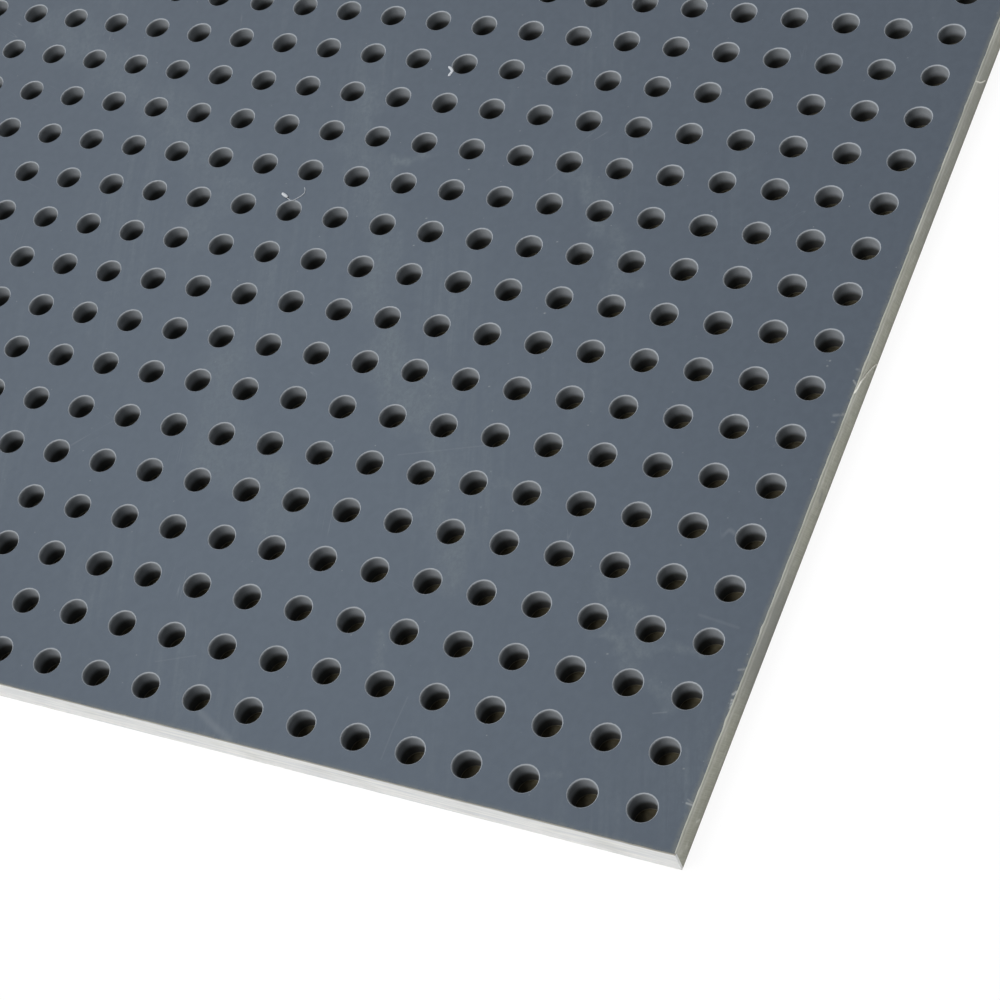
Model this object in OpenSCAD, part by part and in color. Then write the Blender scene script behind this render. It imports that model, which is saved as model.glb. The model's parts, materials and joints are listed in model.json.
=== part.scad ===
// A flat sheet of rigid PVC, drilled through all over in a square pattern and sawn to size.
// It lies flat: the origin is at the middle of its underside, X runs along the near edge,
// Y runs away from it along the right-hand edge, and Z goes up through the thickness.

/* [Sheet] */
// Width of the sheet, along X
sheet_width = 300; // [80:1:400]
// Depth of the sheet, along Y
sheet_depth = 300; // [80:1:400]
// Thickness of the sheet
sheet_thickness = 5; // [2:0.5:12]
// Width of the break along the upper sawn edges
edge_break = 0.4; // [0.1:0.1:1]

/* [Holes] */
// Diameter of each hole
hole_diameter = 4.7; // [2:0.1:8]
// Distance from one hole to the next, along the rows and across them
hole_pitch = 10; // [9.5:0.5:25]
// Width of the break around the mouth of each hole
mouth_break = 0.3; // [0.1:0.05:0.5]

/* [Margins] */
// From the right-hand edge to the middle of the first column of holes
margin_right = 7.75; // [6:0.25:20]
// From the near edge to the middle of the first row of holes
margin_near = 6.25; // [6:0.25:20]
// Least distance left from the other two edges to the middle of the last holes
margin_least = 6; // [6:0.25:20]

/* [Hidden] */

// How far each cutter passes the face that it cuts
cutter_pass = 1;
first_column_x = sheet_width / 2 - margin_right;
first_row_y = -sheet_depth / 2 + margin_near;
column_count = 1 + floor((sheet_width - margin_right - margin_least) / hole_pitch);
row_count = 1 + floor((sheet_depth - margin_near - margin_least) / hole_pitch);
$fn = 32;

// The drill's path through the sheet, opened out in a cone at the upper face
module hole_cutter() {
    radius = hole_diameter / 2;
    mouth_radius = radius + mouth_break;
    rotate_extrude()
        polygon([
            [0, -cutter_pass],
            [radius, -cutter_pass],
            [radius, sheet_thickness - mouth_break],
            [mouth_radius, sheet_thickness],
            [mouth_radius, sheet_thickness + cutter_pass],
            [0, sheet_thickness + cutter_pass]
        ]);
}

// Every hole, column by column from the right-hand edge and row by row from the near edge
module hole_pattern() {
    for (column = [0 : column_count - 1], row = [0 : row_count - 1])
        translate([first_column_x - column * hole_pitch, first_row_y + row * hole_pitch, 0])
            hole_cutter();
}

// The sawn blank: a plate whose upper edges are broken at 45 degrees on all four sides
module sawn_blank() {
    intersection() {
        edge_section(sheet_depth, sheet_width);
        rotate([0, 0, 90])
            edge_section(sheet_width, sheet_depth);
    }
}

// A bar along Y with the sheet's own section, cut square at both ends
module edge_section(bar_length, bar_width) {
    half = bar_width / 2;
    rotate([90, 0, 0])
        linear_extrude(height = bar_length, center = true)
            polygon([
                [-half, 0],
                [half, 0],
                [half, sheet_thickness - edge_break],
                [half - edge_break, sheet_thickness],
                [-half + edge_break, sheet_thickness],
                [-half, sheet_thickness - edge_break]
            ]);
}

module perforated_sheet() {
    color("slategray")
        difference() {
            sawn_blank();
            hole_pattern();
        }
}

perforated_sheet();
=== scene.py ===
import json
import math

import bpy
import numpy as np
from mathutils import Matrix, Vector


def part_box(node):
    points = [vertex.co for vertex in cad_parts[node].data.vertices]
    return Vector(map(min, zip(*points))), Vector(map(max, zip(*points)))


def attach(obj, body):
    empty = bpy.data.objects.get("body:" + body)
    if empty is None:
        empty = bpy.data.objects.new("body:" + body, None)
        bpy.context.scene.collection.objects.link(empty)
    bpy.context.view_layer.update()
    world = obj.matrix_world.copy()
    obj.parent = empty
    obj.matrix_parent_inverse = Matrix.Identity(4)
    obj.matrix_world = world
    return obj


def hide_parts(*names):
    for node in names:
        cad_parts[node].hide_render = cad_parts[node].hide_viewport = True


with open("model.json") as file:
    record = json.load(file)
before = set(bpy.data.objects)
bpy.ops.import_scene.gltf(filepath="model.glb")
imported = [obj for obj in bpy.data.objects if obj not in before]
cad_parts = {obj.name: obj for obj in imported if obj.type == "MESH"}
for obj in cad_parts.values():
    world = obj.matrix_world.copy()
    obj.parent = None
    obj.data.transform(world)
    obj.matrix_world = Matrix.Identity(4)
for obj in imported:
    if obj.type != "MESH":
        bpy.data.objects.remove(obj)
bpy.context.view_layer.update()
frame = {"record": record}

# Sheet
# One flat piece of rigid grey PVC with a satin pressed face. It is drilled right through in a square
# pattern, which left a broken rim round each hole, and sawn to size, which left four paler, rougher edges.
MM = 0.001
sheet_low, sheet_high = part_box("perforated_sheet")
sheet_top = sheet_high.z
corner_holes = next(mount for mount in frame["record"]["mounts"] if mount["name"] == "corner_holes")
hole_sizes = corner_holes["dims"]
hole_radius = hole_sizes["hole_r_mm"] * MM
hole_pitch = 10 * MM
mouth_break = 0.3 * MM
mouth_radius = hole_radius + mouth_break
pattern_span = np.array([hole_sizes["spacing_x_mm"], hole_sizes["spacing_y_mm"]]) * MM
pattern_low = np.array(corner_holes["pos_m"][:2]) - pattern_span / 2
column_count, row_count = 1 + np.rint(pattern_span / hole_pitch).astype(int)
rays_per_side = 6
PRESSED, DRILLED, SAWN = range(3)


def place_on_chart(points, origin, size):
    """Where points of the sheet fall on its map when they are looked down on: the outline's low corner
    comes to the chart's origin, and the sheet's longer side takes up the chart's size."""
    outline_low = np.array(sheet_low[:2])
    longer_side = max(sheet_high.x - sheet_low.x, sheet_high.y - sheet_low.y)
    return np.array(origin) + (points[..., :2] - outline_low) * size / longer_side


def patches(points, chart, finishes, facing=None):
    """Corners, map places, facing and finish of every patch of a grid of lines. Each patch runs from a
    point to the next line, along that line by one point, and back. Where no facing is given, it comes
    from the shape."""

    def corners(grid):
        near, far = grid[..., :-1, :, :], grid[..., 1:, :, :]
        square = np.stack([near[..., :-1, :], far[..., :-1, :], far[..., 1:, :], near[..., 1:, :]], axis=-2)
        return square.reshape(-1, 4, grid.shape[-1])

    if facing is None:
        facing = np.zeros_like(points)
    patch_grid = points[..., :-1, :-1, 0].shape
    finish = np.broadcast_to(np.reshape(finishes, (-1, 1)), patch_grid)
    return corners(points), corners(chart), corners(facing), finish.ravel()


def rays_from_hole():
    """The ways of the rays that leave a hole's middle at even angles, the first met again at the end."""
    angle = np.linspace(0, 2 * np.pi, 4 * rays_per_side + 1)
    return np.stack([np.cos(angle), np.sin(angle)], axis=-1)


def rings_round_holes(reaches, heights):
    """Rings of points round every hole, as columns, rows, rings and rays. Each ring is where the rays have
    gone as far as its reach, at its height. A reach of None is the square of one pitch round the hole, so
    that neighbouring holes share the points of its sides."""
    ray = rays_from_hole()
    square = hole_pitch / 2 / np.abs(ray).max(axis=-1)
    reach = np.stack([square if radius is None else np.full_like(square, radius) for radius in reaches])
    column = pattern_low[0] + hole_pitch * np.arange(column_count)
    row = pattern_low[1] + hole_pitch * np.arange(row_count)
    middle = np.stack(np.meshgrid(column, row, indexing="ij"), axis=-1)[:, :, None, None, :]
    flat = middle + reach[..., None] * ray
    height = np.broadcast_to(np.reshape(heights, (-1, 1, 1)), flat.shape[:-1] + (1,))
    return np.concatenate([flat, height], axis=-1)


upper_chart = ((0.01, 0.29), 0.70)
under_chart = ((0.72, 0.29), 0.27)
wall_foot_on_chart = 0.15 * hole_radius
upper_finishes = [DRILLED, DRILLED, PRESSED]
face_and_walls = rings_round_holes(
    [hole_radius, hole_radius, mouth_radius, None], [0, sheet_top - mouth_break, sheet_top, sheet_top]
)
laid_flat = rings_round_holes([wall_foot_on_chart, hole_radius, mouth_radius, None], [0, 0, 0, 0])
into_hole = np.pad(-rays_from_hole(), ((0, 0), (0, 1)))
upward = np.broadcast_to((0.0, 0.0, 1.0), into_hole.shape)
rounded_rim = np.broadcast_to(np.stack([into_hole, into_hole, upward, upward]), face_and_walls.shape)
underside = rings_round_holes([None, hole_radius], [0, 0])
sheet_patches = [
    patches(face_and_walls, place_on_chart(laid_flat, *upper_chart), upper_finishes, rounded_rim),
    patches(underside, place_on_chart(underside, *under_chart), [PRESSED]),
]


def wander(along, knot_spacing, chance):
    """A value from -1 to 1 that wanders along a line: random at even knots, straight between them."""
    knots = np.arange(along.min(), along.max() + 2 * knot_spacing, knot_spacing)
    return np.interp(along, knots, chance.uniform(-1, 1, len(knots)))


chip_spacing = 7 * MM
chip_half_lengths = (0.4, 1.6)
chip_depths = (0.05, 0.45)
chip_depth_power = 1.5


def chips(along, chance):
    """How far small chips eat in along an arris: each is a notch that is deepest at its middle and runs
    out straight to both sides, and where notches meet the deeper one holds. Deep ones are rare, because
    their chance depth is raised to a power."""
    count = int((along.max() - along.min()) / chip_spacing)
    middle = chance.uniform(along.min(), along.max(), count)
    half_length = chance.uniform(*chip_half_lengths, count) * MM
    depth = chance.uniform(*chip_depths, count) ** chip_depth_power * MM
    notch = depth * np.clip(1 - np.abs(along[:, None] - middle) / half_length, 0, None)
    return notch.max(axis=1)


# Of each pair, the first is for the near and far edges and the second for the right and left ones.
arris_widths = (0.17 * MM, 0.36 * MM)
arris_raggedness = (0.2, 0.5)
arris_drop = 0.8
corner_arris = 0.25 * MM
corner_run = 4 * MM
least_arris = 0.1 * MM
lower_arris = 0.12 * MM
long_wave, long_wave_height = 2.5 * MM, 0.10 * MM
short_wave, short_wave_height = 0.8 * MM, 0.06 * MM
bow_wave, bow_depth = 9 * MM, 0.02 * MM
middle_bow = 1.5
fine_steps = 3
strip_start, strip_length = 0.01, 0.96
strip_foot, strip_spacing, strip_height = 0.015, 0.065, 0.05


def side_of_sheet(side, chance):
    """The margin and sawn edge along one side, as the sheet's section carried along it: lines from the
    outermost holes' squares over the upper arris, down the edge and under it, back to those squares.
    Between the squares' points the arris has finer steps, so two of the inner points are met again
    before the next one."""
    field_low = pattern_low - hole_pitch / 2
    field_high = field_low + hole_pitch * np.array([column_count, row_count])
    turn = [(0, 0), (1, 0), (1, 1), (0, 1), (0, 0)]
    field_start, field_end = (np.where(turn[k], field_high, field_low) for k in (side, side + 1))
    start, end = (np.where(turn[k], sheet_high[:2], sheet_low[:2]) for k in (side, side + 1))
    outward = [np.array(way) for way in ((0, -1), (1, 0), (0, 1), (-1, 0))]
    cells = (column_count, row_count)[side % 2]
    ray_slope = np.tan(np.radians(np.arange(-45, 45, 90 / rays_per_side)))
    coarse = np.append((np.arange(cells)[:, None] + 0.5 + ray_slope / 2).ravel() / cells, 1)
    step = np.arange(fine_steps * (len(coarse) - 1) + 1)
    share = np.interp(step / fine_steps, np.arange(len(coarse)), coarse)
    held = coarse[np.rint(step / fine_steps).astype(int)]
    inner = field_start + held[:, None] * (field_end - field_start)
    outer = start + share[:, None] * (end - start)
    length = np.linalg.norm(end - start)
    along = share * length
    from_corner = np.clip(np.minimum(along, length - along) / corner_run, 0, 1)
    inward = -(
        outward[side]
        + (step == 0)[:, None] * outward[side - 1]
        + (step == step[-1])[:, None] * outward[(side + 1) % 4]
    )
    arris_width, raggedness = arris_widths[side % 2], arris_raggedness[side % 2]
    long_waves = long_wave_height * wander(along, long_wave, chance)
    short_waves = short_wave_height * wander(along, short_wave, chance)
    eaten = raggedness * (long_waves + short_waves + chips(along, chance))
    broken = np.maximum(corner_arris + from_corner * (arris_width - corner_arris + eaten), least_arris)
    bow = bow_depth * from_corner * (1 + wander(along, bow_wave, chance))

    def line(inset, height):
        flat = outer + np.reshape(inset, (-1, 1)) * inward
        return np.column_stack([flat, np.broadcast_to(height, len(flat))])

    field_line = np.column_stack([inner, np.full(len(inner), sheet_top)])
    under_line = np.column_stack([inner, np.zeros(len(inner))])
    edge_head = line(bow, sheet_top - arris_drop * broken)
    edge_foot = line(np.zeros(len(step)), lower_arris)
    over = np.stack([field_line, line(broken, sheet_top), edge_head])
    rounded_arris = np.zeros_like(over)
    rounded_arris[:2] = (0, 0, 1)
    rounded_arris[2, :, :2] = outward[side]
    down = np.stack([edge_head, line(middle_bow * bow, sheet_top / 2), edge_foot])
    beneath = np.stack([edge_foot, line(np.full(len(step), lower_arris), 0), under_line])
    strip_along = np.broadcast_to(strip_start + strip_length * share, down.shape[:-1])
    strip_up = strip_foot + strip_spacing * side + strip_height * down[..., 2] / sheet_top
    return [
        patches(over, place_on_chart(over, *upper_chart), [PRESSED, SAWN], rounded_arris),
        patches(down, np.stack([strip_along, strip_up], axis=-1), [SAWN, SAWN]),
        patches(beneath, place_on_chart(beneath, *under_chart), [SAWN, PRESSED]),
    ]


saw_seed = 11
saw_chance = np.random.default_rng(saw_seed)
for side in range(4):
    sheet_patches += side_of_sheet(side, saw_chance)

weld_distance = 0.0001 * MM
sharp_angle = 30


def closed_mesh(name, groups):
    """One closed mesh from groups of patches. Corners in the same place are welded, and a patch with two
    corners in one place is left a triangle."""
    corners, chart, facing, finish = (np.concatenate(parts) for parts in zip(*groups))
    places = corners.reshape(-1, 3)
    cell = np.rint(places / weld_distance).astype(np.int64)
    _, first, corner = np.unique(cell, axis=0, return_index=True, return_inverse=True)
    corner = corner.reshape(-1, 4)
    kept = corner != np.roll(corner, -1, axis=1)
    corner_counts = kept.sum(axis=1)
    mesh = bpy.data.meshes.new(name)
    mesh.vertices.add(len(first))
    mesh.vertices.foreach_set("co", places[first].ravel())
    mesh.loops.add(int(kept.sum()))
    mesh.loops.foreach_set("vertex_index", corner[kept].astype(np.int32))
    mesh.polygons.add(len(kept))
    mesh.polygons.foreach_set("loop_start", (np.cumsum(corner_counts) - corner_counts).astype(np.int32))
    mesh.polygons.foreach_set("material_index", finish.astype(np.int32))
    mesh.uv_layers.new(name="OFBake", do_init=False).data.foreach_set("uv", chart[kept].ravel())
    mesh.update(calc_edges=True)
    mesh.validate()
    mesh.shade_smooth()
    mesh.set_sharp_from_angle(angle=math.radians(sharp_angle))
    mesh.normals_split_custom_set(facing[kept].tolist())
    return mesh


def add_node(tree, kind, inputs, **settings):
    """A node of that kind with its settings. Each input is set to a value, or linked to a given output."""
    node = tree.nodes.new(kind)
    for name, value in settings.items():
        setattr(node, name, value)
    for name, value in inputs.items():
        if isinstance(value, bpy.types.NodeSocket):
            tree.links.new(value, node.inputs[name])
        else:
            node.inputs[name].default_value = value
    return node


def new_material(name):
    """A material with one Principled shader, its tree, that shader and the piece's own places in metres."""
    material = bpy.data.materials.new(name)
    material.use_nodes = True
    tree = material.node_tree
    place = tree.nodes.new("ShaderNodeTexCoord").outputs["Object"]
    return material, tree, tree.nodes["Principled BSDF"], place


def grain(tree, place, across, along, turn=0, detail=3.0, rough=0.55, shift=0.0):
    """Noise from 0 to 1 whose blotches are across by along in size, the length turned from Y by an angle."""
    mapped = add_node(
        tree,
        "ShaderNodeMapping",
        {
            "Vector": place,
            "Location": (shift, shift, 0),
            "Rotation": (0, 0, math.radians(turn)),
            "Scale": (across, along, along),
        },
        vector_type="TEXTURE",
    )
    noise = add_node(
        tree,
        "ShaderNodeTexNoise",
        {"Vector": mapped.outputs["Vector"], "Scale": 1.0, "Detail": detail, "Roughness": rough},
    )
    return noise.outputs["Fac"]


def between(tree, value, low, high, start=0.0, end=1.0):
    """A value eased from start to end while it goes from low to high, and held outside that."""
    eased = add_node(
        tree,
        "ShaderNodeMapRange",
        {"Value": value, "From Min": low, "From Max": high, "To Min": start, "To Max": end},
        interpolation_type="SMOOTHSTEP",
    )
    return eased.outputs["Result"]


def joined(tree, operation, first, second):
    """Two values joined by an operation."""
    return add_node(tree, "ShaderNodeMath", {0: first, 1: second}, operation=operation).outputs["Value"]


def unsigned(tree, value):
    """A value without its sign."""
    return add_node(tree, "ShaderNodeMath", {0: value}, operation="ABSOLUTE").outputs["Value"]


def tint(tree, share, under, over):
    """The colour that goes from under to over by a share."""
    share_input, under_input, over_input, colour_output = 0, 6, 7, 2
    mixed = add_node(
        tree,
        "ShaderNodeMix",
        {share_input: share, under_input: under, over_input: over},
        data_type="RGBA",
    )
    return mixed.outputs[colour_output]


def set_surface(tree, shader, colour, roughness, specular):
    """Gives a shader its colour, and a roughness and a specular level that are the same all over."""
    tree.links.new(colour, shader.inputs["Base Color"])
    shader.inputs["Roughness"].default_value = roughness
    shader.inputs["Specular IOR Level"].default_value = specular


def set_relief(tree, shader, height, strength, depth):
    """Gives a shader a fine relief from a height between 0 and 1 that stands for a depth in metres."""
    bump = add_node(tree, "ShaderNodeBump", {"Height": height, "Strength": strength, "Distance": depth})
    tree.links.new(bump.outputs["Normal"], shader.inputs["Normal"])


def rub_group():
    """A node group for one rub on a surface: the share is 1 along the middle of a straight stroke and eases
    to 0 at its width, by a point's distance from the stroke. The larger of it, times its strength, and the
    share so far is handed on."""
    group = bpy.data.node_groups.new("rub", "ShaderNodeTree")
    sockets = [
        ("Place", "NodeSocketVector"),
        ("Start", "NodeSocketVector"),
        ("Stroke", "NodeSocketVector"),
        ("Per Length", "NodeSocketVector"),
        ("Width", "NodeSocketFloat"),
        ("Strength", "NodeSocketFloat"),
        ("So Far", "NodeSocketFloat"),
    ]
    for name, kind in sockets:
        group.interface.new_socket(name, in_out="INPUT", socket_type=kind)
    group.interface.new_socket("Share", in_out="OUTPUT", socket_type="NodeSocketFloat")
    given = group.nodes.new("NodeGroupInput").outputs
    given_back = group.nodes.new("NodeGroupOutput").inputs

    def vectors(operation, first, second):
        return add_node(group, "ShaderNodeVectorMath", {0: first, 1: second}, operation=operation)

    away = vectors("SUBTRACT", given["Place"], given["Start"]).outputs["Vector"]
    gone = vectors("DOT_PRODUCT", away, given["Per Length"]).outputs["Value"]
    held = add_node(group, "ShaderNodeClamp", {"Value": gone}).outputs["Result"]
    nearest = add_node(
        group, "ShaderNodeVectorMath", {0: given["Stroke"], "Scale": held}, operation="SCALE"
    )
    apart = vectors("DISTANCE", away, nearest.outputs["Vector"]).outputs["Value"]
    share = between(group, apart, 0.0, given["Width"], 1.0, 0.0)
    stroke = joined(group, "MULTIPLY", share, given["Strength"])
    group.links.new(joined(group, "MAXIMUM", stroke, given["So Far"]), given_back["Share"])
    return group


one_rub = rub_group()


def rubs(tree, place, strokes):
    """The share of rubbing all over a surface from strokes: each is a run of points in millimetres, on the
    upper face where they give no height, the width to which it fades and its strength."""
    face_height = sheet_top / MM
    so_far = 0.0
    for points, width, strength in strokes:
        for start, end in zip(points, points[1:]):
            begin, finish = (Vector((*point, face_height)[:3]) * MM for point in (start, end))
            stroke = finish - begin
            inputs = {
                "Place": place,
                "Start": begin,
                "Stroke": stroke,
                "Per Length": stroke / stroke.length_squared,
                "Width": width * MM,
                "Strength": strength,
                "So Far": so_far,
            }
            so_far = add_node(tree, "ShaderNodeGroup", inputs, node_tree=one_rub).outputs["Share"]
    return so_far


scratch_width = 0.009


def scratches(tree, place, turn, spacing, length, shift):
    """The share of fine scratches: the lines where a drawn-out noise crosses its middle value, kept only
    where a broad noise is high."""
    wave = grain(tree, place, spacing, length, turn, detail=0.0, shift=shift)
    off_middle = unsigned(tree, joined(tree, "SUBTRACT", wave, 0.5))
    line = between(tree, off_middle, 0.0, scratch_width, 1.0, 0.0)
    broad = grain(tree, place, 11 * MM, 14 * MM, turn, detail=1.0, shift=2 * shift)
    return joined(tree, "MULTIPLY", line, between(tree, broad, 0.66, 0.80))


speck_spacing = 6 * MM
speck_radius = 0.18 * MM


def specks(tree, place):
    """The share of dust specks: small rounds at the middles of scattered cells, in the cells whose chance
    is high, each as strong as a second chance makes it."""
    cells = add_node(
        tree, "ShaderNodeTexVoronoi", {"Vector": place, "Scale": 1 / speck_spacing}, voronoi_dimensions="2D"
    )
    reach = speck_radius / speck_spacing
    round_share = between(tree, cells.outputs["Distance"], 0.2 * reach, reach, 1.0, 0.0)
    chances = add_node(tree, "ShaderNodeSeparateColor", {"Color": cells.outputs["Color"]}).outputs
    strength = joined(tree, "MULTIPLY", between(tree, chances["Red"], 0.60, 0.64), chances["Green"])
    return joined(tree, "MULTIPLY", round_share, strength)


haze_strokes = [
    ([(35.3, -14.3), (38.1, -25.3), (48.6, -37.5), (56.2, -50.6), (58.5, -60.5), (64.3, -69.7)], 5.5, 0.55),
    ([(64.3, -69.7), (70.0, -77.5), (76.3, -80.6)], 8.0, 0.9),
    ([(76.3, -80.6), (86.4, -90.3), (89.6, -100.0), (97.4, -112.4)], 4.5, 0.65),
    ([(36.6, -79.5), (38.1, -89.4), (43.7, -98.1), (55.8, -101.0), (60.9, -106.6)], 8.0, 0.6),
    ([(124.9, -116.9), (130.9, -117.1), (140.6, -116.5)], 1.8, 0.6),
    ([(119.8, -106.3), (124.9, -111.9), (131.0, -116.9), (140.4, -124.6)], 3.2, 0.5),
    ([(49.0, -31.5), (52.9, -28.7), (54.7, -27.3)], 2.6, 1.0),
    ([(82.6, -21.2), (88.4, -28.3), (95.6, -37.7), (102.5, -49.0)], 3.5, 0.5),
    ([(-41.1, -4.8), (-22.7, -16.1), (-6.4, -24.4), (4.2, -29.3), (18.0, -41.1), (17.3, -50.0)], 8.5, 0.38),
    ([(86.3, -126.7), (89.5, -130.8), (92.5, -134.9)], 2.5, 0.6),
    ([(91.5, -93.4), (101.7, -95.3)], 3.0, 0.4),
    ([(124.9, -143.4), (127.3, -144.5)], 1.2, 0.5),
]
line_strokes = [
    ([(138.1, -128.0), (140.1, -127.3)], 0.22, 1.0),
    ([(76.7, -91.2), (91.3, -86.2)], 0.2, 0.6),
    ([(51.9, -139.2), (58.5, -136.4)], 0.2, 0.5),
    ([(79.7, -28.7), (81.0, -26.3)], 0.25, 0.5),
    ([(98.2, -146.4), (97.9, -141.1), (97.9, -134.9)], 0.2, 0.5),
    ([(139.1, -109.5), (146.0, -110.3)], 0.45, 0.45),
    ([(64.2, -146.1), (67.6, -147.8), (71.2, -149.3)], 1.1, 0.8),
]
chip_strokes = [
    ([(148.6, -141.3), (149.7, -141.4)], 0.32, 0.6),
    ([(148.6, -140.7), (149.5, -141.1)], 0.28, 0.25),
    ([(149.2, -121.8), (149.6, -121.3)], 0.4, 0.9),
    ([(149.4, -122.8), (149.6, -124.2)], 0.35, 0.8),
    ([(149.7, -126.1), (149.8, -127.6)], 0.35, 0.7),
    ([(148.6, -117.5), (149.4, -117.2)], 0.35, 0.35),
    ([(147.9, -68.3), (149.4, -67.8)], 0.5, 0.25),
    ([(148.0, -69.6), (148.4, -69.6)], 0.3, 0.3),
    ([(148.7, -58.6), (149.5, -58.8)], 0.4, 0.25),
    ([(148.9, -60.9), (149.6, -61.7)], 0.28, 0.55),
]
speck_places = [
    (143.6, -58.9),
    (143.7, -57.8),
    (146.1, -135.9),
    (127.1, -119.7),
    (87.1, -41.9),
    (63.7, -28.6),
    (60.4, -47.4),
    (60.2, -41.0),
    (87.1, -74.4),
    (90.9, -57.5),
]
speck_width, speck_strength = 0.24, 0.5
speck_strokes = [([(x, y), (x + 0.1, y + 0.05)], speck_width, speck_strength) for x, y in speck_places]
haze_turn = 20
stray_wave, stray_reach = 9 * MM, 14 * MM
cloud_cover, haze_cover, wear_cover, line_cover, dust_cover = 0.7, 0.47, 0.30, 0.20, 0.8
scattered_dust = 0.45


def led_astray(tree, place):
    """Places moved about on the face by a noise, as far as half its reach to each side."""
    noise = add_node(tree, "ShaderNodeTexNoise", {"Vector": place, "Scale": 1 / stray_wave, "Detail": 3.0})
    way = add_node(
        tree, "ShaderNodeVectorMath", {0: noise.outputs["Color"], 1: (0.5, 0.5, 0.5)}, operation="SUBTRACT"
    )
    moved = add_node(
        tree,
        "ShaderNodeVectorMath",
        {0: way.outputs["Vector"], 1: (stray_reach, stray_reach, 0), 2: place},
        operation="MULTIPLY_ADD",
    )
    return moved.outputs["Vector"]


def haze_on_face(tree, place, stipple):
    """The share of haze: clouds drawn out along one way, or the strokes where they are stronger, which
    stray and are patchy. A fine stipple breaks up both."""
    cloud = grain(tree, place, 24 * MM, 55 * MM, haze_turn, detail=5.0, rough=0.6, shift=0.31)
    drawn = grain(tree, place, 1.6 * MM, 38 * MM, haze_turn, detail=4.0, rough=0.6, shift=0.17)
    patchy = grain(tree, place, 2.2 * MM, 9 * MM, haze_turn, detail=4.0, rough=0.6, shift=0.63)
    clouds = joined(tree, "MULTIPLY", between(tree, cloud, 0.48, 0.78), between(tree, drawn, 0.36, 0.72))
    strokes = rubs(tree, led_astray(tree, place), haze_strokes)
    smeared = joined(tree, "MULTIPLY", strokes, between(tree, patchy, 0.25, 0.7, 0.4, 1.2))
    haze = joined(tree, "MAXIMUM", joined(tree, "MULTIPLY", clouds, cloud_cover), smeared)
    return joined(tree, "MULTIPLY", haze, between(tree, stipple, 0.32, 0.68, 0.35, 1.0))


def wear_at_edges(tree, place, stipple):
    """The share of wear along the edges: it eases in over the last millimetre or so of the face, less at
    the near and far edges, and a fine stipple breaks it up."""
    axes = add_node(tree, "ShaderNodeSeparateXYZ", {"Vector": place}).outputs
    aside, ahead = unsigned(tree, axes["X"]), unsigned(tree, axes["Y"])
    beside = between(tree, aside, sheet_high.x - 1.4 * MM, sheet_high.x - 0.3 * MM)
    before = between(tree, ahead, sheet_high.y - 0.9 * MM, sheet_high.y - 0.2 * MM, 0.0, 0.7)
    wear = joined(tree, "MAXIMUM", beside, before)
    return joined(tree, "MULTIPLY", wear, between(tree, stipple, 0.28, 0.56))


def lines_on_face(tree, place):
    """The share of scratches: single strokes, and three sets of scattered fine ones, each set with its
    turn in degrees, its spacing and length in millimetres and a shift of its noise."""
    lines = rubs(tree, place, line_strokes)
    for turn, spacing, length, shift in ((72, 1.3, 30, 0.11), (-38, 1.1, 18, 0.23), (14, 1.6, 42, 0.47)):
        fine = scratches(tree, place, turn, spacing * MM, length * MM, shift)
        lines = joined(tree, "MAXIMUM", lines, fine)
    return lines


def dust_on_face(tree, place, stipple):
    """The share of dust and chips: the placed ones, or weaker scattered specks, broken up by a stipple."""
    placed = rubs(tree, place, speck_strokes + chip_strokes)
    scattered = joined(tree, "MULTIPLY", specks(tree, place), scattered_dust)
    dusted = joined(tree, "MAXIMUM", placed, scattered)
    return joined(tree, "MULTIPLY", dusted, between(tree, stipple, 0.36, 0.58, 0.4, 1.0))


def pressed_pvc():
    """The satin face: a blue-grey with a fine mottle, hazy where it was rubbed, worn a warmer tone along the
    edges, crossed by fine paler scratches and dusted with specks. Hazy places are also duller."""
    grey, grey_light = (0.0575, 0.0722, 0.0938, 1), (0.064, 0.080, 0.103, 1)
    rubbed, worn = (0.205, 0.237, 0.251, 1), (0.225, 0.215, 0.15, 1)
    scratched, dust = (0.28, 0.30, 0.317, 1), (0.41, 0.42, 0.41, 1)
    satin, dulled, specular = 0.40, 0.55, 0.35
    material, tree, shader, place = new_material("pressed_pvc")
    mottle = grain(tree, place, 1.5 * MM, 1.8 * MM, detail=5.0, rough=0.62)
    stipple = grain(tree, place, 0.7 * MM, 0.9 * MM, haze_turn, detail=4.0, rough=0.65, shift=0.05)
    haze = haze_on_face(tree, place, stipple)
    wear = wear_at_edges(tree, place, stipple)
    lines = lines_on_face(tree, place)
    dusted = dust_on_face(tree, place, stipple)
    colour = tint(tree, between(tree, mottle, 0.3, 0.7), grey, grey_light)
    colour = tint(tree, joined(tree, "MULTIPLY", haze, haze_cover), colour, rubbed)
    colour = tint(tree, joined(tree, "MULTIPLY", wear, wear_cover), colour, worn)
    colour = tint(tree, joined(tree, "MULTIPLY", lines, line_cover), colour, scratched)
    colour = tint(tree, joined(tree, "MULTIPLY", dusted, dust_cover), colour, dust)
    tree.links.new(colour, shader.inputs["Base Color"])
    tree.links.new(between(tree, haze, 0.0, 1.0, satin, dulled), shader.inputs["Roughness"])
    shader.inputs["Specular IOR Level"].default_value = specular
    set_relief(tree, shader, joined(tree, "SUBTRACT", mottle, lines), 0.15, 0.012 * MM)
    return material


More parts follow.
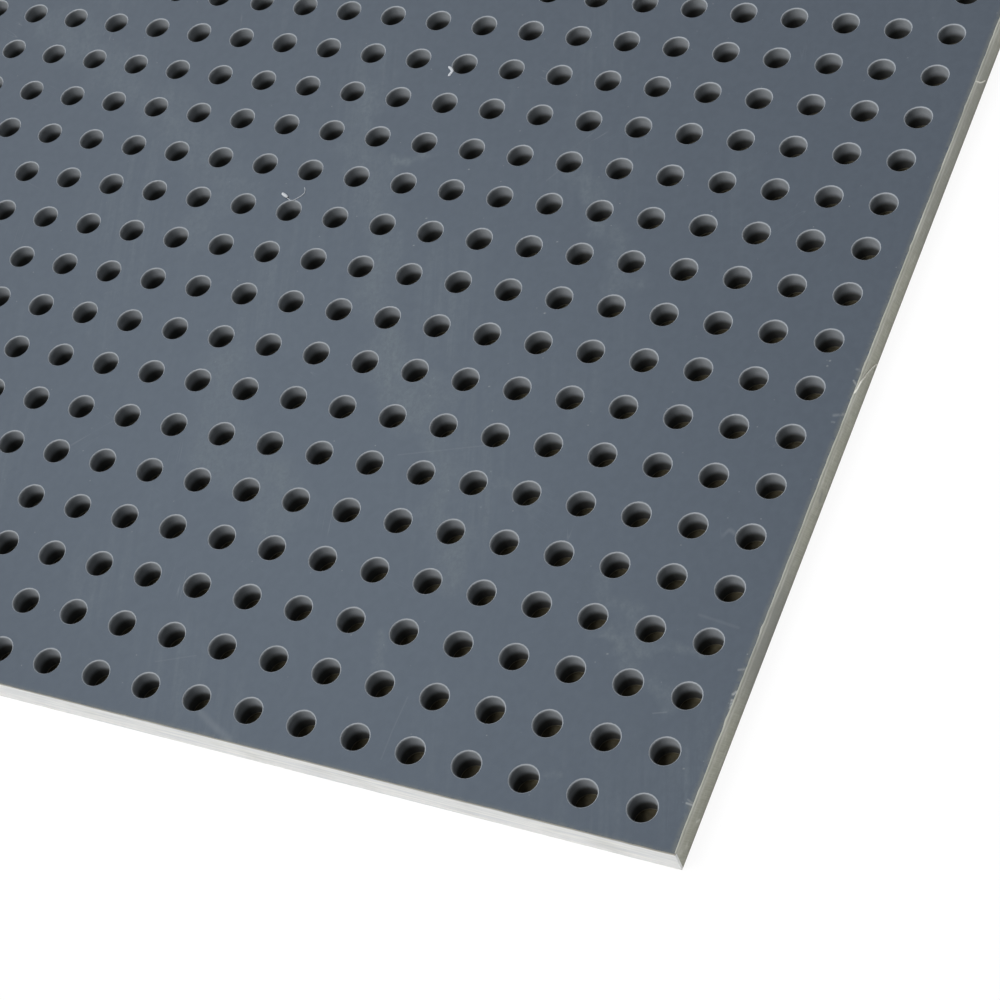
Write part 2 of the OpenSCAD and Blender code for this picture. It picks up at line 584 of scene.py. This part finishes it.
def drilled_pvc():
    """The holes' walls and rims: a grey with fine rings round the wall from the drill's feed. Deep in the
    hole it is darkened as painted shade. The mouth is paler where the drill broke through the face, partly
    as painted light, and a pale band at the foot is a burr and painted light caught from below."""
    wall_dark, wall_light = (0.328, 0.350, 0.372, 1), (0.396, 0.418, 0.440, 1)
    rim, face_grey = (0.40, 0.425, 0.45, 1), (0.065, 0.081, 0.104, 1)
    painted_shade_deep, burr_and_foot_light = (0.030, 0.029, 0.026, 1), (0.42, 0.38, 0.28, 1)
    ring_size = (2.5 * MM, 2.5 * MM, 0.12 * MM)
    roughness, specular = 0.45, 0.25
    material, tree, shader, place = new_material("drilled_pvc")
    height = add_node(tree, "ShaderNodeSeparateXYZ", {"Vector": place}).outputs["Z"]
    smear = grain(tree, place, 1.1 * MM, 1.4 * MM, detail=4.0)
    ring_place = add_node(
        tree, "ShaderNodeMapping", {"Vector": place, "Scale": ring_size}, vector_type="TEXTURE"
    ).outputs["Vector"]
    rings = add_node(
        tree, "ShaderNodeTexNoise", {"Vector": ring_place, "Scale": 1.0, "Detail": 2.0}
    ).outputs["Fac"]
    smeared_rings = joined(tree, "MULTIPLY", smear, rings)
    colour = tint(tree, between(tree, smeared_rings, 0.12, 0.42), wall_dark, wall_light)
    # Painted shade: the wall is darkened deep in the hole, where little light reaches.
    colour = tint(tree, between(tree, height, 1.7 * MM, 3.3 * MM, 0.9, 0.0), colour, painted_shade_deep)
    # A pale band at the wall's foot: a burr, and painted light where the foot catches light from below.
    colour = tint(tree, between(tree, height, 0.1 * MM, 0.35 * MM, 0.6, 0.0), colour, burr_and_foot_light)
    # The pale mouth band is where the drill broke through the face, and partly painted light near the mouth.
    mouth = between(tree, height, sheet_top - 1.6 * mouth_break, sheet_top - 0.6 * mouth_break)
    worn = between(tree, smear, 0.3, 0.65, 0.55, 1.0)
    colour = tint(tree, joined(tree, "MULTIPLY", mouth, worn), colour, rim)
    brink = between(tree, height, sheet_top - 0.55 * mouth_break, sheet_top)
    colour = tint(tree, brink, colour, face_grey)
    set_surface(tree, shader, colour, roughness, specular)
    set_relief(tree, shader, rings, 0.4, 0.02 * MM)
    return material


soiled_strokes = [
    ([(150, -112), (150, -106)], 16.0, 0.9),
    ([(150, -22), (150, 10)], 16.0, 0.6),
    ([(150, -83.2, 2.3), (150, -82.0, 2.6)], 1.0, 0.8),
]
nick_strokes = [([(150, -142.5, 1.8), (150, -141.7, 0.9)], 0.4, 1.0)]
mark_slant = (1, 1, 0.45)


def sawn_pvc():
    """The sawn edges: paler and warmer than the face. The saw left slanted marks on the right and left
    edges, and drew long streaks on the near and far ones. The near and far edges are much paler than the
    right and left ones, partly from their finish and partly as painted light for the strong light on the
    near edge.
    The arrises of the right and left edges are scuffed white and partly a painted highlight, and those of
    the others are straight and darker. The right-hand edge has soiled stretches and a nick."""
    pale, dull, pale_scuff_and_highlight = (0.415, 0.415, 0.34, 1), (0.34, 0.34, 0.278, 1), (0.575, 0.575, 0.515, 1)
    # The near and far edges' colours are partly painted light: set much paler than the right and left edges'
    # to stand for the strong light on the near edge.
    smooth_pale, smooth_dull = (0.90, 0.89, 0.855, 1), (0.715, 0.725, 0.735, 1)
    burnt, soiled = (0.30, 0.285, 0.24, 1), (0.255, 0.26, 0.235, 1)
    roughness, specular = 0.6, 0.25
    material, tree, shader, place = new_material("sawn_pvc")
    axes = add_node(tree, "ShaderNodeSeparateXYZ", {"Vector": place}).outputs
    slant = add_node(
        tree, "ShaderNodeVectorMath", {0: place, 1: mark_slant}, operation="DOT_PRODUCT"
    ).outputs["Value"]
    along = add_node(tree, "ShaderNodeCombineXYZ", {"X": slant, "Y": axes["Z"], "Z": 0.0}).outputs["Vector"]
    marks = grain(tree, along, 0.22 * MM, 5 * MM)
    broad = grain(tree, along, 9 * MM, 3 * MM, shift=0.4)
    blotches = grain(tree, along, 2.6 * MM, 1.1 * MM, detail=4.0, shift=0.6)
    streaks = grain(tree, along, 14 * MM, 0.5 * MM, detail=4.0, shift=0.8)
    ahead = unsigned(tree, axes["Y"])
    lengthwise = between(tree, ahead, sheet_high.y - 0.5 * MM, sheet_high.y - 0.4 * MM)
    slanted = tint(tree, between(tree, marks, 0.3, 0.7), dull, pale)
    slanted = tint(tree, between(tree, blotches, 0.48, 0.72, 0.0, 0.5), slanted, pale_scuff_and_highlight)
    slanted = tint(tree, between(tree, broad, 0.5, 0.75, 0.0, 0.45), slanted, dull)
    slanted = tint(tree, rubs(tree, place, soiled_strokes), slanted, soiled)
    smooth = tint(tree, between(tree, streaks, 0.3, 0.7), smooth_dull, smooth_pale)
    smooth = tint(tree, between(tree, broad, 0.5, 0.75, 0.0, 0.2), smooth, dull)
    colour = tint(tree, lengthwise, slanted, smooth)
    # Partly painted highlight: the upper arris of the right and left edges is tinted paler, scuffed and
    # standing for the light it catches.
    arris_scuff_and_highlight_band = between(tree, axes["Z"], sheet_top - 1.5 * MM, sheet_top - 0.3 * MM)
    arris_scuff_and_highlight = joined(tree, "MULTIPLY", arris_scuff_and_highlight_band, between(tree, broad, 0.25, 0.58, 1.0, 0.45))
    arris_scuff_and_highlight = joined(tree, "MAXIMUM", arris_scuff_and_highlight, rubs(tree, place, nick_strokes))
    burn = between(tree, axes["Z"], sheet_top - 0.16 * MM, sheet_top - 0.1 * MM)
    slanted_arris = tint(tree, arris_scuff_and_highlight, colour, pale_scuff_and_highlight)
    smooth_arris = tint(tree, burn, colour, burnt)
    colour = tint(tree, lengthwise, slanted_arris, smooth_arris)
    set_surface(tree, shader, colour, roughness, specular)
    set_relief(tree, shader, marks, 0.4, 0.03 * MM)
    return material


sheet_mesh = closed_mesh("perforated_sheet_drilled", sheet_patches)
sheet = bpy.data.objects.new("perforated_sheet_drilled", sheet_mesh)
bpy.context.scene.collection.objects.link(sheet)
for finish in (pressed_pvc(), drilled_pvc(), sawn_pvc()):
    sheet.data.materials.append(finish)
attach(sheet, "root")
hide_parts("perforated_sheet")

# Swarf
# Fine threads, a bead and a flake of pale PVC that the saw and the drill left. They cling to the face and
# to the right-hand edge where they fell.
thread_stations = 40
thread_sides = 8
strip_count = 6
strip_fill = 0.9
chart_margin, chart_span = 0.02, 0.96


def smooth_path(points, stations):
    """Points at even shares of the way along a smooth curve through given points: between two of them it
    is the cubic whose slope at each is half the step from its one neighbour to its other."""
    knots = np.array(points) * MM
    ends = np.concatenate([[2 * knots[0] - knots[1]], knots, [2 * knots[-1] - knots[-2]]])
    way = np.linspace(0, len(knots) - 1, stations)
    piece = np.minimum(way.astype(int), len(knots) - 2)
    t = (way - piece)[:, None]
    before, start, end, after = (ends[piece + k] for k in range(4))
    slope, next_slope = (end - before) / 2, (after - start) / 2
    return (
        (2 * t**3 - 3 * t**2 + 1) * start
        + (t**3 - 2 * t**2 + t) * slope
        + (3 * t**2 - 2 * t**3) * end
        + (t**3 - t**2) * next_slope
    )


def strand(points, width, height, away, bluntness, strip):
    """A closed strand: an oval carried along a smooth path, as wide as given across it and as high as given
    away from the surface that it lies on. It draws in to a point at both ends, the later the blunter it
    is. Its map place is a strip of its own."""
    path = smooth_path(points, thread_stations)
    share = np.linspace(0, 1, thread_stations)
    ahead = np.gradient(path, axis=0)
    ahead /= np.linalg.norm(ahead, axis=1, keepdims=True)
    across = np.cross(ahead, away)
    across /= np.linalg.norm(across, axis=1, keepdims=True)
    out = np.cross(across, ahead)
    fullness = np.sqrt(np.clip(1 - np.abs(2 * share - 1) ** bluntness, 0, 1))[:, None, None]
    angle = np.linspace(0, 2 * np.pi, thread_sides + 1)[None, :, None]
    oval = width / 2 * np.cos(angle) * across[:, None] + height / 2 * np.sin(angle) * out[:, None]
    around = np.broadcast_to(np.linspace(0, 1, thread_sides + 1), (thread_stations, thread_sides + 1))
    strip_along = np.broadcast_to(share[:, None], around.shape)
    strip_up = (strip + strip_fill * around) / strip_count
    chart = chart_margin + chart_span * np.stack([strip_along, strip_up], axis=-1)
    return patches(path[:, None] + fullness * oval, chart, np.zeros(thread_stations - 1))


def swarf_pvc():
    """Cut PVC, pale and a little darker in patches, and rough. On the right-hand edge it is cream and paler,
    partly painted light that makes up for the dimmer light there.
    """
    pale, dull, cream_and_painted_light = (0.63, 0.65, 0.675, 1), (0.47, 0.485, 0.51, 1), (0.90, 0.88, 0.80, 1)
    roughness, specular = 0.65, 0.5
    material, tree, shader, place = new_material("swarf_pvc")
    patchy = grain(tree, place, 0.3 * MM, 0.3 * MM)
    aside = add_node(tree, "ShaderNodeSeparateXYZ", {"Vector": place}).outputs["X"]
    # Painted light, partly: swarf on the right-hand edge is tinted a paler cream to make up for the dimmer
    # light there.
    on_edge = between(tree, aside, sheet_high.x - 1.0 * MM, sheet_high.x - 0.2 * MM)
    colour = tint(tree, between(tree, patchy, 0.35, 0.65), dull, pale)
    set_surface(tree, shader, tint(tree, on_edge, colour, cream_and_painted_light), roughness, specular)
    set_relief(tree, shader, patchy, 0.3, 0.03 * MM)
    return material


on_face = sheet_top / MM + 0.06
off_edge = sheet_high.x / MM + 0.03
bead_lift = 0.15
long_thread = [
    (149.8, -63.5, on_face),
    (off_edge, -62.2, 4.9),
    (off_edge, -60.3, 4.5),
    (off_edge, -57.6, 3.2),
    (off_edge, -55.7, 2.1),
    (off_edge, -53.9, 0.6),
]
short_thread = [(149.9, 5.8, on_face), (off_edge, 7.4, 3.1), (off_edge, 9.5, 1.3)]
curl = [
    (30.1, -40.7),
    (30.8, -41.1),
    (31.7, -41.5),
    (32.4, -41.1),
    (33.2, -40.2),
    (33.6, -39.4),
    (33.4, -38.6),
    (33.0, -38.0),
]
bead = [(29.2, -40.2), (30.0, -40.6), (30.8, -41.0)]
flake = [(49.3, -4.9), (50.4, -5.7), (50.5, -6.3), (50.3, -7.3)]
curl_points = [(*point, on_face) for point in curl]
bead_points = [(*point, on_face + bead_lift) for point in bead]
flake_points = [(*point, on_face) for point in flake]
face_thread = 0.12 * MM
edge_thread = 0.28 * MM
bead_width, bead_height = 0.65 * MM, 0.45 * MM
flake_width, flake_height = 0.55 * MM, 0.14 * MM
thread_bluntness, bead_bluntness, flake_bluntness = 20, 4, 6
upright, rightward = (0, 0, 1), (1, 0, 0)
strands = [
    strand(long_thread, edge_thread, edge_thread, rightward, thread_bluntness, strip=0),
    strand(short_thread, edge_thread, edge_thread, rightward, thread_bluntness, strip=1),
    strand(curl_points, face_thread, face_thread, upright, thread_bluntness, strip=2),
    strand(bead_points, bead_width, bead_height, upright, bead_bluntness, strip=3),
    strand(flake_points, flake_width, flake_height, upright, flake_bluntness, strip=4),
]
swarf = bpy.data.objects.new("swarf", closed_mesh("swarf", strands))
bpy.context.scene.collection.objects.link(swarf)
swarf.data.materials.append(swarf_pvc())
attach(swarf, "root")

# Floor
# A plain white table that goes on past the picture on all sides and keeps the shadow, and a dark brown
# cloth on it, a little smaller than the sheet, that shows only through the holes. The cloth is painted
# shade: it stands for the shade under the sheet and the darker surface there that the holes show.
floor_reach = 4.0
floor_drop = 0.04 * MM
cloth_drop = 0.02 * MM
cloth_inset = 2 * MM


def level_plane(name, reach, drop):
    """A flat square round the origin, as far as its reach to each side and a drop below the sheet."""
    mesh = bpy.data.meshes.new(name)
    corner = np.array([(-1, -1), (1, -1), (1, 1), (-1, 1)]) * reach
    mesh.from_pydata(np.column_stack([corner, np.full(4, -drop)]), [], [(0, 1, 2, 3)])
    plane = bpy.data.objects.new(name, mesh)
    bpy.context.scene.collection.objects.link(plane)
    return plane


def seen_directly(tree):
    """1 for rays that show a thing itself, by the camera, in a reflection or through glass, and 0 for those
    that carry its light."""
    path = tree.nodes.new("ShaderNodeLightPath").outputs
    shown = joined(tree, "MAXIMUM", path["Is Camera Ray"], path["Is Glossy Ray"])
    return joined(tree, "MAXIMUM", shown, path["Is Transmission Ray"])


def white_table():
    """A matt white that shows mostly as plain white, so that it is white out of the shadow and faintly grey
    in it."""
    white, plain_white = (0.92, 0.92, 0.92, 1), (1, 1, 1, 1)
    plain_level, plain_share = 1.02, 0.92
    material, tree, shader, _ = new_material("white_table")
    shader.inputs["Base Color"].default_value = white
    shader.inputs["Roughness"].default_value = 0.9
    shader.inputs["Specular IOR Level"].default_value = 0.0
    plain = add_node(tree, "ShaderNodeEmission", {"Color": plain_white, "Strength": plain_level})
    mixed = add_node(
        tree,
        "ShaderNodeMixShader",
        {
            0: joined(tree, "MULTIPLY", seen_directly(tree), plain_share),
            1: shader.outputs["BSDF"],
            2: plain.outputs["Emission"],
        },
    )
    tree.links.new(mixed.outputs["Shader"], tree.nodes["Material Output"].inputs["Surface"])
    return material


def painted_shade_cloth():
    """A matt dark brown felt, uneven in tone. It is painted shade: it stands for the shade under the sheet
    and the darker surface there that the holes show.
    """
    brown, brown_light = (0.060, 0.052, 0.034, 1), (0.105, 0.092, 0.060, 1)
    roughness, specular = 0.95, 0.0
    material, tree, shader, place = new_material("painted_shade_cloth")
    felt = between(tree, grain(tree, place, 2 * MM, 2 * MM), 0.3, 0.7)
    set_surface(tree, shader, tint(tree, felt, brown, brown_light), roughness, specular)
    return material


level_plane("floor", floor_reach, floor_drop).data.materials.append(white_table())
# The cloth is painted shade under the sheet, seen only through the holes.
level_plane("cloth", sheet_high.x - cloth_inset, cloth_drop).data.materials.append(painted_shade_cloth())

# Light
# A soft key lamp high at the near left lights the face, the near edge and the far side of each hole. A low
# one at the right lights the right-hand edge and the holes' left rims, and a cool one high at the far left
# makes the sheen on the face. The room round them shows white and lights the sheet only a little.
key_turn = 228
key_height = 58
key_level = 0.90
key_softness = 30
fill_turn = 5
fill_height = 5
fill_level = 0.20
fill_softness = 16
sheen_turn = 143
sheen_height = 56
sheen_distance = 1.3
sheen_width = 0.5
sheen_power = 3.6
sheen_colour = (0.70, 0.85, 1.0)
room_level = 0.06


def direction(turn, height):
    """The way to a lamp: a turn in degrees from the X axis towards the Y axis, and a height above the
    floor in degrees."""
    level = math.cos(math.radians(height))
    return Vector(
        (
            level * math.cos(math.radians(turn)),
            level * math.sin(math.radians(turn)),
            math.sin(math.radians(height)),
        )
    )


def far_lamp(name, way, level, softness):
    """A lamp so far off that its light comes one way all over, at a level where 1 shows a colour as written,
    and spread over a round of sky as many degrees across as its softness."""
    lamp = bpy.data.lights.new(name, "SUN")
    lamp.energy = level * math.pi
    lamp.angle = math.radians(softness)
    lamp_object = bpy.data.objects.new(name, lamp)
    lamp_object.rotation_euler = way.to_track_quat("Z", "Y").to_euler()
    bpy.context.scene.collection.objects.link(lamp_object)


far_lamp("key", direction(key_turn, key_height), key_level, key_softness)
far_lamp("fill", direction(fill_turn, fill_height), fill_level, fill_softness)
sheen = bpy.data.lights.new("sheen", "AREA")
sheen.shape = "DISK"
sheen.size = sheen_width
sheen.energy = sheen_power
sheen.color = sheen_colour
sheen_object = bpy.data.objects.new("sheen", sheen)
sheen_from = direction(sheen_turn, sheen_height)
sheen_object.location = sheen_distance * sheen_from
sheen_object.rotation_euler = sheen_from.to_track_quat("Z", "Y").to_euler()
sheen_object.visible_camera = False
bpy.context.scene.collection.objects.link(sheen_object)
room = bpy.data.worlds.new("room")
bpy.context.scene.world = room
room.use_nodes = True
room_tree = room.node_tree
room_light = room_tree.nodes["Background"]
room_light.inputs["Color"].default_value = (1, 1, 1, 1)
shown_level = between(room_tree, seen_directly(room_tree), 0.0, 1.0, room_level, 1.0)
room_tree.links.new(shown_level, room_light.inputs["Strength"])

# Camera
# It looks down on the near right-hand corner of the sheet, held turned a little, as in the photograph. Its
# focal length is written in pixels of the picture.
picture_width = 1000
focal_length_in_pixels = 2562.9
camera_place = Vector((276.83, -288.23, 341.77)) * MM
camera_aim = Vector((98.27, -96.04, 5.0)) * MM
camera_roll = -25.10
nearest_seen = 10 * MM
camera = bpy.data.objects.new("camera", bpy.data.cameras.new("camera"))
camera.data.lens = camera.data.sensor_width * focal_length_in_pixels / picture_width
camera.data.clip_start = nearest_seen
looking = (camera_aim - camera_place).to_track_quat("-Z", "Y").to_matrix()
turned = looking @ Matrix.Rotation(math.radians(camera_roll), 3, "Z")
camera.matrix_world = Matrix.Translation(camera_place) @ turned.to_4x4()
bpy.context.scene.collection.objects.link(camera)
bpy.context.scene.camera = camera
bpy.context.scene.view_settings.view_transform = "Standard"
